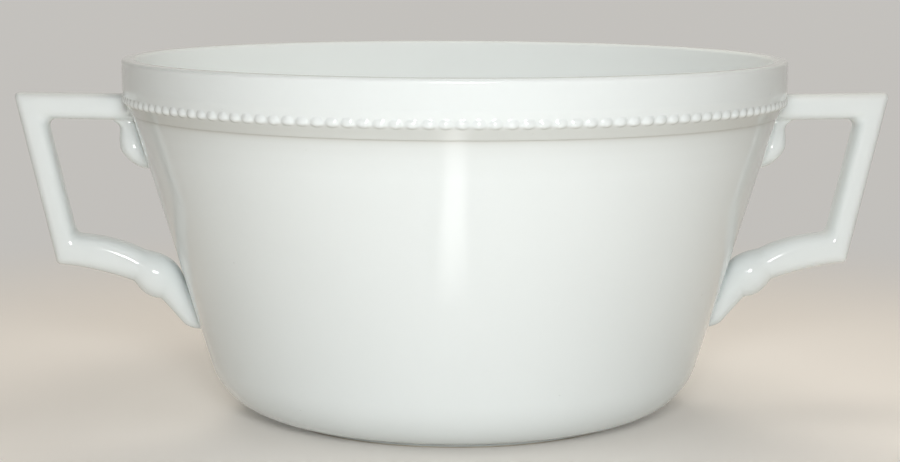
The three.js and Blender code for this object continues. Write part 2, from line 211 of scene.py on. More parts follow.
class HandleSizes(bpy.types.PropertyGroup):
    """Sizes of a handle, in its side view and across."""

    reach: length("Reach", HANDLE_HIGH.x / MM, "Bowl's axis to the outermost corner")
    bar_top: length("Bar top", HANDLE_HIGH.z / MM, "Table to the top of the level bar")
    drop: length("Drop", 28.9, "Bar's top to the underside of the lower corner")
    depth: length("Depth", 7.0, "Depth across the bar, the upright and the arm")
    bar_rise: length("Bar rise", 0.35, "Bar's root up to its outer end")
    bar: length("Bar", 4.4, "Thickness of the level bar")
    upright: length("Upright", 4.3, "Thickness of the upright")
    upright_lean: angle("Upright lean", 13.0, "Lean of the upright from upright")
    arm: length("Arm", 5.4, "Thickness of the arm")
    arm_slope: angle("Arm slope", 5, "Fall of the arm at the lower corner")
    arm_fall: length("Arm fall", 3.0, "Fall of the underside from the corner to the knuckle")
    corner: length("Corner round", 0.6, "Radius of the outer corners")
    grip: length("Grip round", 1.3, "Radius of the corners of the finger gap")
    knuckle_out: length("Knuckle standoff", 9.0, "Wall to where the arm's underside meets the knuckle")
    knuckle_fall: length("Knuckle fall", 3.0, "Fall of the knuckle's underside")
    knuckle_rise: length("Knuckle rise", 5.3, "Height of the knuckle's top above its underside's start")
    knuckle_top_out: length("Knuckle top standoff", 5.6, "Wall to the knuckle's top")
    heel_rise: length("Heel rise", 4.6, "Height of the knuckle's heel above its underside's start")
    heel_out: length("Heel standoff", 1.7, "Wall to the knuckle's heel")
    touch_rise: length("Touch rise", 0.4, "Height where the tail's back meets the wall")
    knuckle_depth: length("Knuckle depth", 8.2, "Depth across the knuckle")
    tail_out: length("Tail standoff", 5.4, "Wall to where the knuckle's underside meets the tail")
    tail_fall: length("Tail fall", 5.5, "Fall of the tail to its tip")
    tail_depth: length("Tail depth", 6.6, "Depth across the tail, at the knuckle")
    tip_out: length("Tip standoff", 2.3, "Wall to the outside of the tail's tip")
    tip_depth: length("Tip depth", 2.8, "Depth across the tail's tip")
    leaf_length: length("Leaf length", 8.4, "Bar's underside to the tip of the leaf")
    leaf_out: length("Leaf standoff", 4.2, "Wall to the leaf's thickest point")
    leaf_neck_out: length("Leaf neck standoff", 2.6, "Wall to the leaf's neck")
    leaf_flare: length("Leaf flare", 1.4, "Radius between the leaf's neck and the bar")
    leaf_depth: length("Leaf depth", 7.0, "Depth across the leaf")
    leaf_neck_depth: length("Leaf neck depth", 4.4, "Depth across the leaf's neck")
    bite: length("Bite", 2.0, "How far the bar's clay runs into the wall")
    tail_bite: length("Tail bite", 0.6, "How far the tail's clay runs into the wall")
    squareness: amount("Squareness", 3.0, "Section of the bar: 2 is an oval, and more is squarer")
    knuckle_squareness: amount("Knuckle squareness", 2.2, "Section of the knuckle and the tail")
    leaf_squareness: amount("Leaf squareness", 2.3, "Section of the leaf")
    voxel: length("Voxel", 0.2, "Mesh size of the clay before it is smoothed")
    smoothing: IntProperty(name="Smoothing", description="Passes that soften the clay", default=10)


class PorcelainLook(bpy.types.PropertyGroup):
    """Colours and finish of the porcelain."""

    glaze: colour("Glaze", "#e9f0f1", "Clear glaze over the white body")
    # Partly thicker pooled glaze and partly painted shade: hollows, the crease and the wall under the collar
    # take this colour
    pooled_glaze_and_shade: colour("Pooled glaze", "#c5c8c4", "Thicker glaze in hollows")
    thin: colour("Thin glaze", "#eff4f4", "Thin glaze on crests")
    biscuit: colour("Biscuit", "#e4ddcf", "Bare clay of the foot ring")
    roughness: amount("Roughness", 0.06, "Roughness of the glaze")
    cloud: length("Glaze clouds", 20.0, "Width of the thicker and thinner patches of glaze")
    wave: length("Glaze waves", 3.0, "Width of the waves in the glaze")
    wave_height: length("Wave height", 0.012, "Height of the waves in the glaze")
    pinhole_gap: length("Pinhole spacing", 6.0, "Distance from one pinhole to the next")
    pinhole_radius: length("Pinhole radius", 0.18, "Radius of a pinhole at its brim")
    pinhole_floor: length("Pinhole floor", 0.072, "Radius of a pinhole at its floor")
    pinhole_depth: length("Pinhole depth", 0.08, "Depth of a pinhole")
    grit: length("Grit", 0.25, "Grain of the bare clay")
    grit_height: length("Grit height", 0.05, "Height of the bare clay's grain")
    kiln_mark: length("Kiln marks", 8.0, "Width of the darker patches on the bare clay")


class StageLook(bpy.types.PropertyGroup):
    """Floor and lamps."""

    floor: colour("Floor", "#f2efea", "Pale paper floor")
    fill_tint: colour("Fill tint", "#fff6ea", "Warm white of the even light")
    tooth: length("Tooth", 1.5, "Grain of the paper")
    tooth_height: length("Tooth height", 0.1, "Height of the paper's grain")
    glow: amount("Glow", 0.09, "How far the floor is lifted to a pale tone near the bowl")
    far_glow: amount("Far glow", 0.57, "Tone of the floor away from the bowl, as a share of its colour")
    lit_inner: length("Lit floor", 100.0, "Radius within which the floor takes the lamps' light in full")
    lit_outer: length("Lit floor's edge", 240.0, "Radius beyond which the floor shows its own tone alone")
    key: amount("Key", 1.6, "Power of the lamp above the camera, in watts")
    strip: amount("Strip", 0.0068, "Power of the narrow lamp low in front, in watts")
    top: amount("Top", 0.29, "Power of the soft lamp overhead, in watts")
    back: amount("Back", 9.0, "Power of the broad soft lamp behind, in watts")
    fill: amount("Fill", 0.22, "Strength of the even light all round")


GROUPS = {
    "soup_bowl": BowlSizes,
    "soup_beads": BeadSizes,
    "soup_handles": HandleSizes,
    "soup_porcelain": PorcelainLook,
    "soup_stage": StageLook,
}


def add_node(tree, kind, inputs=None, output=None, **settings):
    """Adds a node with its settings, and with its inputs as values or as links from other sockets.
    Gives its output of that name, or the first one that is in use."""
    made = tree.nodes.new(kind)
    for name, value in settings.items():
        setattr(made, name, value)
    for socket, value in (inputs or {}).items():
        if isinstance(value, bpy.types.NodeSocket):
            tree.links.new(value, made.inputs[socket])
        else:
            made.inputs[socket].default_value = value
    if output:
        return made.outputs[output]
    return next((socket for socket in made.outputs if socket.enabled), None)


def new_material(name):
    """A material with an empty tree of nodes, and that tree."""
    material = bpy.data.materials.new(name)
    material.use_nodes = True
    material.node_tree.nodes.clear()
    return material, material.node_tree


def glazed_porcelain():
    """Hard porcelain, dipped in clear glaze and fired: a glassy white skin over a white body.
    It gives sharp but slightly wavy reflections, a cool, darker tint in hollows that is partly pooled glaze
    and partly painted shade, and a few pinholes."""
    name = "glazed_porcelain_finish"
    if name in bpy.data.materials:
        return bpy.data.materials[name]
    look = bpy.context.scene.soup_porcelain
    material, tree = new_material(name)
    place = add_node(tree, "ShaderNodeTexCoord", output="Object")
    # Painted shade: hollows are tinted darker towards the pooled colour, partly as real pooled glaze; crests
    # take the thin-glaze colour
    recess = add_node(tree, "ShaderNodeAttribute", output="Fac", attribute_name="recess")
    pooling_and_shade = add_node(tree, "ShaderNodeMapRange", {"Value": recess, "From Min": -0.5, "From Max": 0.5})
    tint = add_node(tree, "ShaderNodeValToRGB", {"Fac": pooling_and_shade})
    tint.node.color_ramp.elements[0].color = (*look.thin, 1.0)
    tint.node.color_ramp.elements[1].color = (*look.pooled_glaze_and_shade, 1.0)
    tint.node.color_ramp.elements.new(0.5).color = (*look.glaze, 1.0)
    # Cloudy thickness of the glaze
    cloud = add_node(tree, "ShaderNodeTexNoise", {"Vector": place, "Scale": 1 / look.cloud, "Detail": 2.0})
    gloss = add_node(
        tree, "ShaderNodeMapRange",
        {"Value": cloud, "To Min": 0.8 * look.roughness, "To Max": 1.3 * look.roughness},
    )
    # Pinholes, where one of the spread points lies near the surface
    pinhole = add_node(
        tree, "ShaderNodeTexVoronoi", {"Vector": place, "Scale": 1 / look.pinhole_gap}, feature="F1",
    )
    sound = add_node(
        tree, "ShaderNodeMapRange",
        {"Value": pinhole, "From Min": look.pinhole_floor / look.pinhole_gap,
         "From Max": look.pinhole_radius / look.pinhole_gap},
    )
    for pattern, darkest in ((cloud, 0.97), (sound, 0.93)):
        shade = add_node(tree, "ShaderNodeMapRange", {"Value": pattern, "To Min": darkest})
        tint = add_node(
            tree, "ShaderNodeMix", {"Factor": 1.0, "A": tint, "B": shade},
            data_type="RGBA", blend_type="MULTIPLY",
        )
    # Orange peel of the glaze, a few microns high
    peel = add_node(tree, "ShaderNodeTexNoise", {"Vector": place, "Scale": 1 / look.wave, "Detail": 1.0})
    waves = add_node(
        tree, "ShaderNodeBump", {"Height": peel, "Strength": 0.35, "Distance": look.wave_height},
    )
    pits = add_node(
        tree, "ShaderNodeBump",
        {"Height": sound, "Strength": 0.6, "Distance": look.pinhole_depth, "Normal": waves},
    )
    shader = add_node(
        tree, "ShaderNodeBsdfPrincipled",
        {"Base Color": tint, "Roughness": gloss, "Normal": pits, "IOR": 1.52},
    )
    add_node(tree, "ShaderNodeOutputMaterial", {"Surface": shader})
    return material


def biscuit_porcelain():
    """Unglazed porcelain, wiped bare so that it doesn't stick in the kiln: matt, warm and finely gritty."""
    name = "biscuit_porcelain_finish"
    if name in bpy.data.materials:
        return bpy.data.materials[name]
    look = bpy.context.scene.soup_porcelain
    material, tree = new_material(name)
    place = add_node(tree, "ShaderNodeTexCoord", output="Object")
    # Coarser than real grit, so that it shows
    grit = add_node(tree, "ShaderNodeTexNoise", {"Vector": place, "Scale": 1 / look.grit, "Detail": 3.0})
    rough = add_node(
        tree, "ShaderNodeBump", {"Height": grit, "Strength": 0.4, "Distance": look.grit_height},
    )
    # Marks of the kiln and of handling
    mark = add_node(
        tree, "ShaderNodeTexNoise", {"Vector": place, "Scale": 1 / look.kiln_mark, "Detail": 3.0},
    )
    tint = add_node(tree, "ShaderNodeValToRGB", {"Fac": mark})
    for stop, position, shade in zip(tint.node.color_ramp.elements, (0.3, 0.6), (0.86, 1.0)):
        stop.position = position
        stop.color = (*[shade * v for v in look.biscuit], 1.0)
    shader = add_node(
        tree, "ShaderNodeBsdfPrincipled",
        {"Base Color": tint, "Roughness": 0.75, "Normal": rough, "IOR": 1.5},
    )
    add_node(tree, "ShaderNodeOutputMaterial", {"Surface": shader})
    return material


def collar_heights(bowl):
    """Heights of the top of the curl, of its foot and of the ledge under the collar."""
    top = bowl.height - bowl.face
    foot = top - bowl.curl
    return top, foot, foot - bowl.hollow


def wall_radius(bowl, height):
    """Radius of the outside of the wall at a height."""
    ledge = collar_heights(bowl)[2]
    top = bowl.rim_radius - bowl.curl_depth - bowl.hollow_depth - bowl.step
    return top - (ledge - height) * math.tan(bowl.lean)


def hollow_curve(bowl, count=8):
    """Points up the slightly hollow slope under the beads, from the ledge to the foot of the curl."""
    _, foot, ledge = collar_heights(bowl)
    share = np.linspace(0, 1, count)
    depths = bowl.hollow_depth * (1 - share) * (1 + bowl.hollow_sag * share)
    return np.stack([bowl.rim_radius - bowl.curl_depth - depths, ledge + (foot - ledge) * share], 1)


def curl_curve(bowl, count=12):
    """Points up the curl behind the beads, closer together at its foot."""
    foot = collar_heights(bowl)[1]
    share = 1 - np.cos(np.linspace(0, math.pi / 2, count))
    radii = bowl.rim_radius - bowl.curl_depth * (1 - share) ** bowl.curl_power
    return np.stack([radii, foot + bowl.curl * share], 1)


def rounded(corners, step=math.radians(5), longest=0.98):
    """A profile of (radius, height) through corners of (radius, height, round).
    Step is an arc's angle from point to point, and longest the share of a run that one round may take."""
    profile = []
    for i, (x, y, radius) in enumerate(corners):
        here = np.array([x, y])
        if radius == 0 or i in (0, len(corners) - 1):
            profile.append(here)
            continue
        back = np.array(corners[i - 1][:2]) - here
        ahead = np.array(corners[i + 1][:2]) - here
        back_length, ahead_length = np.linalg.norm(back), np.linalg.norm(ahead)
        back, ahead = back / back_length, ahead / ahead_length
        half = math.acos(max(-1.0, min(1.0, float(back @ ahead)))) / 2
        run = min(radius / math.tan(half), longest * back_length, longest * ahead_length)
        radius = run * math.tan(half)
        middle = here + (back + ahead) / np.linalg.norm(back + ahead) * radius / math.sin(half)
        start, end = here + back * run - middle, here + ahead * run - middle
        turn = math.pi - 2 * half
        count = max(2, math.ceil(turn / step))
        for share in np.linspace(0, 1, count + 1):
            a, b = math.sin((1 - share) * turn), math.sin(share * turn)
            profile.append(middle + (a * start + b * end) / math.sin(turn))
    return profile


def braced(profile):
    """A profile with points added near the ends of its long runs, so that flats shade as flats."""
    result = [profile[0]]
    for start, end in zip(profile, profile[1:]):
        start, end = np.array(start), np.array(end)
        run = np.linalg.norm(end - start)
        if run > LONG_RUN:
            near = BRACES[BRACES < run / 2] / run
            for share in (*near, *(1 - near)[::-1]):
                result.append(start + (end - start) * share)
        result.append(end)
    return result


def bowl_profile(bowl):
    """Outline of half the bowl: underside, foot ring, wall, collar, lip, inside and floor."""
    across = bowl.wall / math.cos(bowl.lean)
    foot_inner = bowl.foot_radius - bowl.foot_width
    floor = bowl.foot_hollow + bowl.floor
    ledge = collar_heights(bowl)[2]
    hollow, curl = hollow_curve(bowl), curl_curve(bowl)
    below = rounded([
        (0.0, bowl.foot_hollow, 0.0),
        (foot_inner, bowl.foot_hollow, bowl.foot_cove),
        (foot_inner + bowl.foot_draft_in, 0.0, bowl.foot_edge),
        (bowl.foot_radius - bowl.foot_draft_out, 0.0, bowl.foot_edge),
        (bowl.foot_radius, bowl.foot_height, bowl.foot_root),
        (wall_radius(bowl, bowl.foot_height), bowl.foot_height, bowl.base_round),
        (wall_radius(bowl, ledge), ledge, bowl.ledge_cove),
        (*hollow[0], bowl.ledge_edge),
        (*hollow[1], 0.0),
    ])
    above = rounded([
        (*curl[-1], 0.0),
        (bowl.rim_radius, bowl.height, bowl.lip_outer),
        (wall_radius(bowl, bowl.height) - across, bowl.height, bowl.lip_inner),
        (wall_radius(bowl, floor) - across, floor, bowl.well_round),
        (0.0, floor, 0.0),
    ])
    return braced([*below, *hollow[2:], *curl[1:-1], *above])


def new_tree(name, inputs, output):
    """A Geometry Nodes tree with its sockets, and the sockets that give its inputs, by name."""
    tree = bpy.data.node_groups.new(name, "GeometryNodeTree")
    for socket, kind in inputs.items():
        tree.interface.new_socket(socket, in_out="INPUT", socket_type=f"NodeSocket{kind}")
    tree.interface.new_socket(output, in_out="OUTPUT", socket_type="NodeSocketGeometry")
    given = add_node(tree, "NodeGroupInput").node.outputs
    return tree, {socket: given[socket] for socket in inputs}


def lathe_tree():
    """Geometry nodes that turn a chain of profile points about Z."""
    if "Lathe" in bpy.data.node_groups:
        return bpy.data.node_groups["Lathe"]
    tree, given = new_tree(
        "Lathe",
        {"Profile": "Geometry", "Segments": "Int", "Glaze": "Material", "Bare Clay": "Material"},
        "Turned",
    )
    rows = add_node(
        tree, "GeometryNodeAttributeDomainSize", {"Geometry": given["Profile"]}, component="MESH",
    )
    columns = add_node(tree, "FunctionNodeIntegerMath", {0: given["Segments"], 1: 1}, operation="ADD")
    grid = add_node(tree, "GeometryNodeMeshGrid", {"Vertices X": columns, "Vertices Y": rows})
    index = add_node(tree, "GeometryNodeInputIndex")
    column, row = (
        add_node(tree, "FunctionNodeIntegerMath", {0: index, 1: rows}, operation=operation)
        for operation in ("DIVIDE_FLOOR", "MODULO")
    )
    position = add_node(tree, "GeometryNodeInputPosition")
    place = add_node(
        tree, "GeometryNodeSampleIndex",
        {"Geometry": given["Profile"], "Value": position, "Index": row}, data_type="FLOAT_VECTOR",
    )
    share = add_node(tree, "ShaderNodeMath", {0: column, 1: given["Segments"]}, operation="DIVIDE")
    turn = add_node(tree, "ShaderNodeMath", {0: share, 1: math.tau}, operation="MULTIPLY")
    turned = add_node(
        tree, "ShaderNodeVectorRotate", {"Vector": place, "Angle": turn}, rotation_type="Z_AXIS",
    )
    bent = add_node(tree, "GeometryNodeSetPosition", {"Geometry": grid, "Position": turned})
    bare = add_node(tree, "GeometryNodeInputNamedAttribute", {"Name": "bare"}, data_type="FLOAT")
    sampled = add_node(
        tree, "GeometryNodeSampleIndex",
        {"Geometry": given["Profile"], "Value": bare, "Index": row}, data_type="FLOAT",
    )
    stored = add_node(
        tree, "GeometryNodeStoreNamedAttribute",
        {"Geometry": bent, "Name": "bare", "Value": sampled}, data_type="FLOAT", domain="POINT",
    )
    closed = add_node(tree, "GeometryNodeMergeByDistance", {"Geometry": stored, "Distance": WELD})
    smooth = add_node(tree, "GeometryNodeSetShadeSmooth", {"Geometry": closed})
    real = add_node(tree, "GeometryNodeRealizeInstances", {"Geometry": smooth})
    glazed = add_node(tree, "GeometryNodeSetMaterial", {"Geometry": real, "Material": given["Glaze"]})
    wiped = add_node(
        tree, "FunctionNodeCompare", {0: bare, 1: BARE_SHARE},
        data_type="FLOAT", operation="GREATER_THAN",
    )
    finished = add_node(
        tree, "GeometryNodeSetMaterial",
        {"Geometry": glazed, "Selection": wiped, "Material": given["Bare Clay"]},
    )
    add_node(tree, "NodeGroupOutput", {"Turned": finished})
    return tree


def bead_tree():
    """Geometry nodes that raise a row of round beads on a turned band."""
    sizes = ("Middle Radius", "Middle Height", "Bead Width", "Bead Height", "Relief", "Melt")
    tree, given = new_tree(
        "Bead Relief",
        {"Band": "Geometry", "Beads": "Int", **dict.fromkeys(sizes, "Float"), "Glaze": "Material"},
        "Beaded",
    )
    position = add_node(tree, "GeometryNodeInputPosition")
    place = add_node(tree, "ShaderNodeSeparateXYZ", {0: position}).node.outputs
    level = add_node(tree, "ShaderNodeCombineXYZ", {"X": place["X"], "Y": place["Y"]})
    outward = add_node(tree, "ShaderNodeVectorMath", {0: level}, operation="NORMALIZE")
    radius = add_node(tree, "ShaderNodeVectorMath", {0: level}, operation="LENGTH")
    # Each line gives a value its name, the sum that makes it, and what goes into the sum
    values = {**given, "x": place["X"], "y": place["Y"], "z": place["Z"], "radius": radius}
    for name, operation, *terms in (
        ("angle", "ARCTAN2", "y", "x"),
        ("turns", "DIVIDE", "angle", math.tau),
        ("pitches", "MULTIPLY", "turns", "Beads"),
        ("phase", "FRACT", "pitches"),
        ("girth", "MULTIPLY", "Middle Radius", math.tau),
        ("pitch", "DIVIDE", "girth", "Beads"),
        ("phase from middle", "SUBTRACT", "phase", 0.5),
        ("along", "MULTIPLY", "phase from middle", "pitch"),
        ("above", "SUBTRACT", "z", "Middle Height"),
        ("half width", "DIVIDE", "Bead Width", 2.0),
        ("half height", "DIVIDE", "Bead Height", 2.0),
        ("wide", "DIVIDE", "along", "half width"),
        ("high", "DIVIDE", "above", "half height"),
        ("wide squared", "MULTIPLY", "wide", "wide"),
        ("high squared", "MULTIPLY", "high", "high"),
        ("away", "ADD", "wide squared", "high squared"),
        ("within", "SUBTRACT", 1.0, "away"),
        ("dome squared", "MAXIMUM", "within", 0.0),
        ("dome", "SQRT", "dome squared"),
        ("crest", "MULTIPLY_ADD", "dome", "Relief", "Middle Radius"),
        ("melted", "SMOOTH_MAX", "crest", "radius", "Melt"),
        ("rise", "SUBTRACT", "melted", "radius"),
        ("bed", "SUBTRACT", "Middle Radius", BED_REACH),
    ):
        inputs = {i: values.get(term, term) for i, term in enumerate(terms)}
        values[name] = add_node(tree, "ShaderNodeMath", inputs, operation=operation)
    front = add_node(
        tree, "FunctionNodeCompare", {0: radius, 1: values["bed"]},
        data_type="FLOAT", operation="GREATER_THAN",
    )
    offset = add_node(
        tree, "ShaderNodeVectorMath", {0: outward, "Scale": values["rise"]}, operation="SCALE",
    )
    raised = add_node(
        tree, "GeometryNodeSetPosition",
        {"Geometry": given["Band"], "Selection": front, "Offset": offset},
    )
    real = add_node(tree, "GeometryNodeRealizeInstances", {"Geometry": raised})
    glazed = add_node(tree, "GeometryNodeSetMaterial", {"Geometry": real, "Material": given["Glaze"]})
    add_node(tree, "NodeGroupOutput", {"Beaded": glazed})
    return tree


def add_tree(piece, tree, values):
    """Adds a Geometry Nodes modifier whose named inputs hold the values."""
    modifier = piece.modifiers.new(tree.name, "NODES")
    modifier.node_group = tree
    for item in tree.interface.items_tree:
        if item.in_out == "INPUT" and item.name in values:
            modifier[item.identifier] = values[item.name]


def link(name, data):
    """A new object in the scene, at the origin."""
    piece = bpy.data.objects.new(name, data)
    bpy.context.scene.collection.objects.link(piece)
    return piece


def settle(piece):
    """Turns what the modifiers make into the piece's own plain mesh."""
    bpy.context.view_layer.update()
    graph = bpy.context.evaluated_depsgraph_get()
    graph.update()
    made = bpy.data.meshes.new_from_object(piece.evaluated_get(graph))
    piece.modifiers.clear()
    piece.data = made
    return piece


def face_outwards(mesh):
    """Recalculates the normals of a closed mesh."""
    work = bmesh.new()
    work.from_mesh(mesh)
    bmesh.ops.recalc_face_normals(work, faces=work.faces)
    work.to_mesh(mesh)
    work.free()


def glaze_pool_and_shade(bowl, places):
    """How much painted shade, with some glaze pooled in the crease, darkens the hollow under the beads and
    the wall below it, from 0 to 1.
    """
    _, foot, ledge = collar_heights(bowl)
    heights = places[:, 2]
    outside = np.hypot(places[:, 0], places[:, 1]) > wall_radius(bowl, heights) - SKIN
    marks = (*(ledge + np.array([*POOL_AND_SHADE_DEPTHS]) * MM), foot, foot + POOL_AND_SHADE_END)
    return outside * np.interp(heights, marks, (*POOL_AND_SHADE_DEPTHS.values(), POOL_AND_SHADE_AT_CURL, 0))


def vertex_vectors(mesh, name):
    """The places or the normals of a mesh's vertices."""
    values = np.empty(len(mesh.vertices) * 3, np.float32)
    mesh.vertices.foreach_get(name, values)
    return values.reshape(-1, 3).astype(float)


def store_recess(mesh, bowl=None):
    """Stores how hollow the surface is at each point, from -1 on a crest to 1 in a hollow; the glaze tints
    hollows darker, partly as pooled glaze and partly as painted shade. On the bowl itself, the painted shade
    under the collar, with glaze pooled in the crease, counts too."""
    places, normals = vertex_vectors(mesh, "co"), vertex_vectors(mesh, "normal")
    edges = np.empty(len(mesh.edges) * 2, np.int32)
    mesh.edges.foreach_get("vertices", edges)
    neighbours = np.maximum(np.bincount(edges, minlength=len(places)), 1)
    a, b = edges.reshape(-1, 2).T
    apart = places[b] - places[a]
    squared = np.maximum((apart**2).sum(1), SHORTEST_EDGE**2)
    recess = np.zeros(len(places))
    np.add.at(recess, a, (apart * normals[a]).sum(1) / squared)
    np.add.at(recess, b, -(apart * normals[b]).sum(1) / squared)
    recess = np.clip(recess / neighbours * HOLLOW_SIZE, -1, 1)
    for _ in range(HOLLOW_PASSES):
        total = np.zeros(len(places))
        np.add.at(total, a, recess[b])
        np.add.at(total, b, recess[a])
        recess = 0.5 * recess + 0.5 * total / neighbours
    if bowl:
        # Painted shade under the collar and in the hollow below the beads, with some pooled glaze, darkens
        # the bowl further
        pool_and_shade = glaze_pool_and_shade(bowl, places)
        recess = np.where(recess < 0, recess * (1 - pool_and_shade), recess) + POOL_AND_SHADE_WEIGHT * pool_and_shade
    stored = mesh.attributes.new("recess", "FLOAT", "POINT")
    stored.data.foreach_set("value", recess.astype(np.float32))


def chain(name, profile, closed=False):
    """A chain of profile points in the plane of X and Z, as the lathe takes it."""
    mesh = bpy.data.meshes.new(name)
    places = [(x, 0.0, z) for x, z in profile]
    if closed:
        places.append(places[0])
    mesh.from_pydata(places, [(i, i + 1) for i in range(len(places) - 1)], [])
    return mesh


class SOUPBOWL_OT_bowl(bpy.types.Operator):
    """Turn the bowl with its collar, lip, well and foot ring"""

    bl_idname = "soup_bowl.bowl"
    bl_label = "Bowl"

    def execute(self, context):
        bowl = context.scene.soup_bowl
        profile = bowl_profile(bowl)
        mesh = chain("bowl", profile)
        bare = mesh.attributes.new("bare", "FLOAT", "POINT")
        for i, (_, height) in enumerate(profile):
            bare.data[i].value = float(height < bowl.wiped)
        piece = link("bowl", mesh)
        add_tree(piece, lathe_tree(), {
            "Segments": bowl.segments,
            "Glaze": glazed_porcelain(),
            "Bare Clay": biscuit_porcelain(),
        })
        settle(piece)
        face_outwards(piece.data)
        store_recess(piece.data, bowl)
        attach(piece, "root")
        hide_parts("bowl_body")
        return {"FINISHED"}


class SOUPBOWL_OT_beads(bpy.types.Operator):
    """Raise the row of beads in its bed below the collar's face"""

    bl_idname = "soup_bowl.beads"
    bl_label = "Bead Border"

    def execute(self, context):
        bowl, beads = context.scene.soup_bowl, context.scene.soup_beads
        middle = bowl.rim_radius + beads.crest - beads.relief
        curl = curl_curve(bowl)
        curl[:, 0] += np.linspace(beads.bed_proud, -beads.bed_sunk, len(curl))
        back = middle - beads.bed
        section = [*curl, (back, curl[-1][1]), (back, curl[0][1])]
        piece = link("bead_border", chain("bead_border", section, closed=True))
        add_tree(piece, lathe_tree(), {
            "Segments": beads.count * beads.columns,
            "Glaze": glazed_porcelain(),
            "Bare Clay": biscuit_porcelain(),
        })
        add_tree(piece, bead_tree(), {
            "Beads": beads.count,
            "Middle Radius": middle,
            "Middle Height": collar_heights(bowl)[1] + beads.height / 2,
            "Bead Width": beads.width,
            "Bead Height": beads.height,
            "Relief": beads.relief,
            "Melt": beads.melt,
            "Glaze": glazed_porcelain(),
        })
        settle(piece)
        face_outwards(piece.data)
        store_recess(piece.data, bowl)
        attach(piece, "root")
        return {"FINISHED"}


def lerp(start, end, share):
    """A value that lies between start and end by a share."""
    return start + share * (end - start)


def bend(start, control, end, shares):
    """Points of a curve that leaves start towards control and arrives at end from it."""
    t = np.asarray(shares)[:, None]
    return (1 - t) ** 2 * start + 2 * t * (1 - t) * control + t**2 * end


def polar(turn):
    """The direction at an angle from X towards Z, in a handle's side view."""
    return np.array([math.cos(turn), math.sin(turn)])


def crossing(place_a, turn_a, place_b, turn_b):
    """Point where two lines cross, each given by a point and the direction of its normal."""
    normals = np.array([polar(turn_a), polar(turn_b)])
    return np.linalg.solve(normals, [normals[0] @ place_a, normals[1] @ place_b])


def corner(outer, inner, start, end, handle):
    """Outer and inner points that turn a corner between two normals, rounded on both sides."""
    inwards = (polar(start) + polar(end)) / (1 + polar(start) @ polar(end))
    turns = np.array([polar(t) for t in np.linspace(start, end, CORNER_STEPS + 1)])
    return (
        outer - inwards * handle.corner + handle.corner * turns,
        inner - inwards * handle.grip + handle.grip * turns,
    )


def sections(outer, inner, depth, squareness):
    """Stations of one run of a handle: outer points, inner points, depths and squareness of its sections."""
    count = len(outer)
    return outer, inner, np.broadcast_to(depth, count), np.broadcast_to(squareness, count)


def blunted(shares, last):
    """How much of its section a limb keeps along its shares: all, then less and less over the last share."""
    return np.sqrt(1 - np.clip((shares - (1 - last)) / last, 0, 1) ** 2)


def grip_stations(bowl, handle):
    """Stations of a handle from the bar's root to the tail's tip."""

    def off_wall(height, out):
        return np.array([wall_radius(bowl, height) + out, height])

    # Bar and upright, with their corners
    root_x = bowl.rim_radius - handle.bite
    underside = handle.bar_top - handle.bar
    up = math.pi / 2 + math.atan2(handle.bar_rise, handle.reach - root_x)
    out = -handle.upright_lean
    down = -math.pi / 2 + handle.arm_slope
    root = np.array([[root_x, handle.bar_top]]), np.array([[root_x, underside]])
    tip = np.array([handle.reach, handle.bar_top + handle.bar_rise])
    tip_inner = tip - handle.upright * polar(out)
    elbow = crossing(tip, out, np.array([0, handle.bar_top - handle.drop]), -math.pi / 2)
    elbow_inner = elbow - handle.arm * polar(down)
    upper = corner(tip, crossing(root[1][0], up, tip_inner, out), up, out, handle)
    lower = corner(elbow, crossing(elbow_inner, down, tip_inner, out), out, down, handle)

    # Arm, from the lower corner to the notch under the knuckle and to the knuckle's top
    start_outer, start_inner = lower[0][-1], lower[1][-1]
    notch_height = start_outer[1] - handle.arm_fall
    notch = off_wall(notch_height, handle.knuckle_out)
    top = off_wall(notch_height + handle.knuckle_rise, handle.knuckle_top_out)
    along = polar(down - math.pi / 2) * (start_outer[0] - notch[0]) / 2
    shares = np.linspace(0, 1, RUN_STEPS + 1)[1:]
    arm = (
        bend(start_outer, start_outer + along, notch, shares),
        bend(start_inner, start_inner + along, top, shares),
    )

    # Knuckle, over its heel and down behind it
    tail_height = notch_height - handle.knuckle_fall
    tail = off_wall(tail_height, handle.tail_out)
    fullest = np.array([lerp(notch[0], tail[0], KNUCKLE_SKEW), tail_height])
    heel = off_wall(notch_height + handle.heel_rise, handle.heel_out)
    touch = off_wall(notch_height + handle.touch_rise, 0)
    behind = (heel + touch) / 2
    knuckle = bend(notch, fullest, tail, shares), bend(top, heel, behind, shares)
    swell = np.sin(math.pi * shares) * (handle.knuckle_depth - handle.depth)

    # Tail, tapered along the wall and rounded off at its tip
    tip_height = tail_height - handle.tail_fall
    close = blunted(shares, TAIL_BLUNT)
    heights = lerp(tail_height, tip_height, shares)
    outs = lerp(handle.tail_out, handle.tip_out, shares) * close
    taper = (
        np.array([off_wall(*at) for at in zip(heights, outs)]),
        bend(behind, touch, off_wall(tip_height, -handle.tail_bite), shares),
    )
    tail_depths = lerp(handle.tail_depth, handle.tip_depth, shares) * np.maximum(close, TIP_LEAST)

    square, oval = handle.squareness, handle.knuckle_squareness
    runs = [
        sections(*root, handle.depth, square),
        sections(*upper, handle.depth, square),
        sections(*lower, handle.depth, square),
        sections(*arm, handle.depth, lerp(square, oval, shares**3)),
        sections(*knuckle, lerp(handle.depth, handle.tail_depth, shares) + swell, oval),
        sections(*taper, tail_depths, oval),
    ]
    return [np.concatenate(values) for values in zip(*runs)]


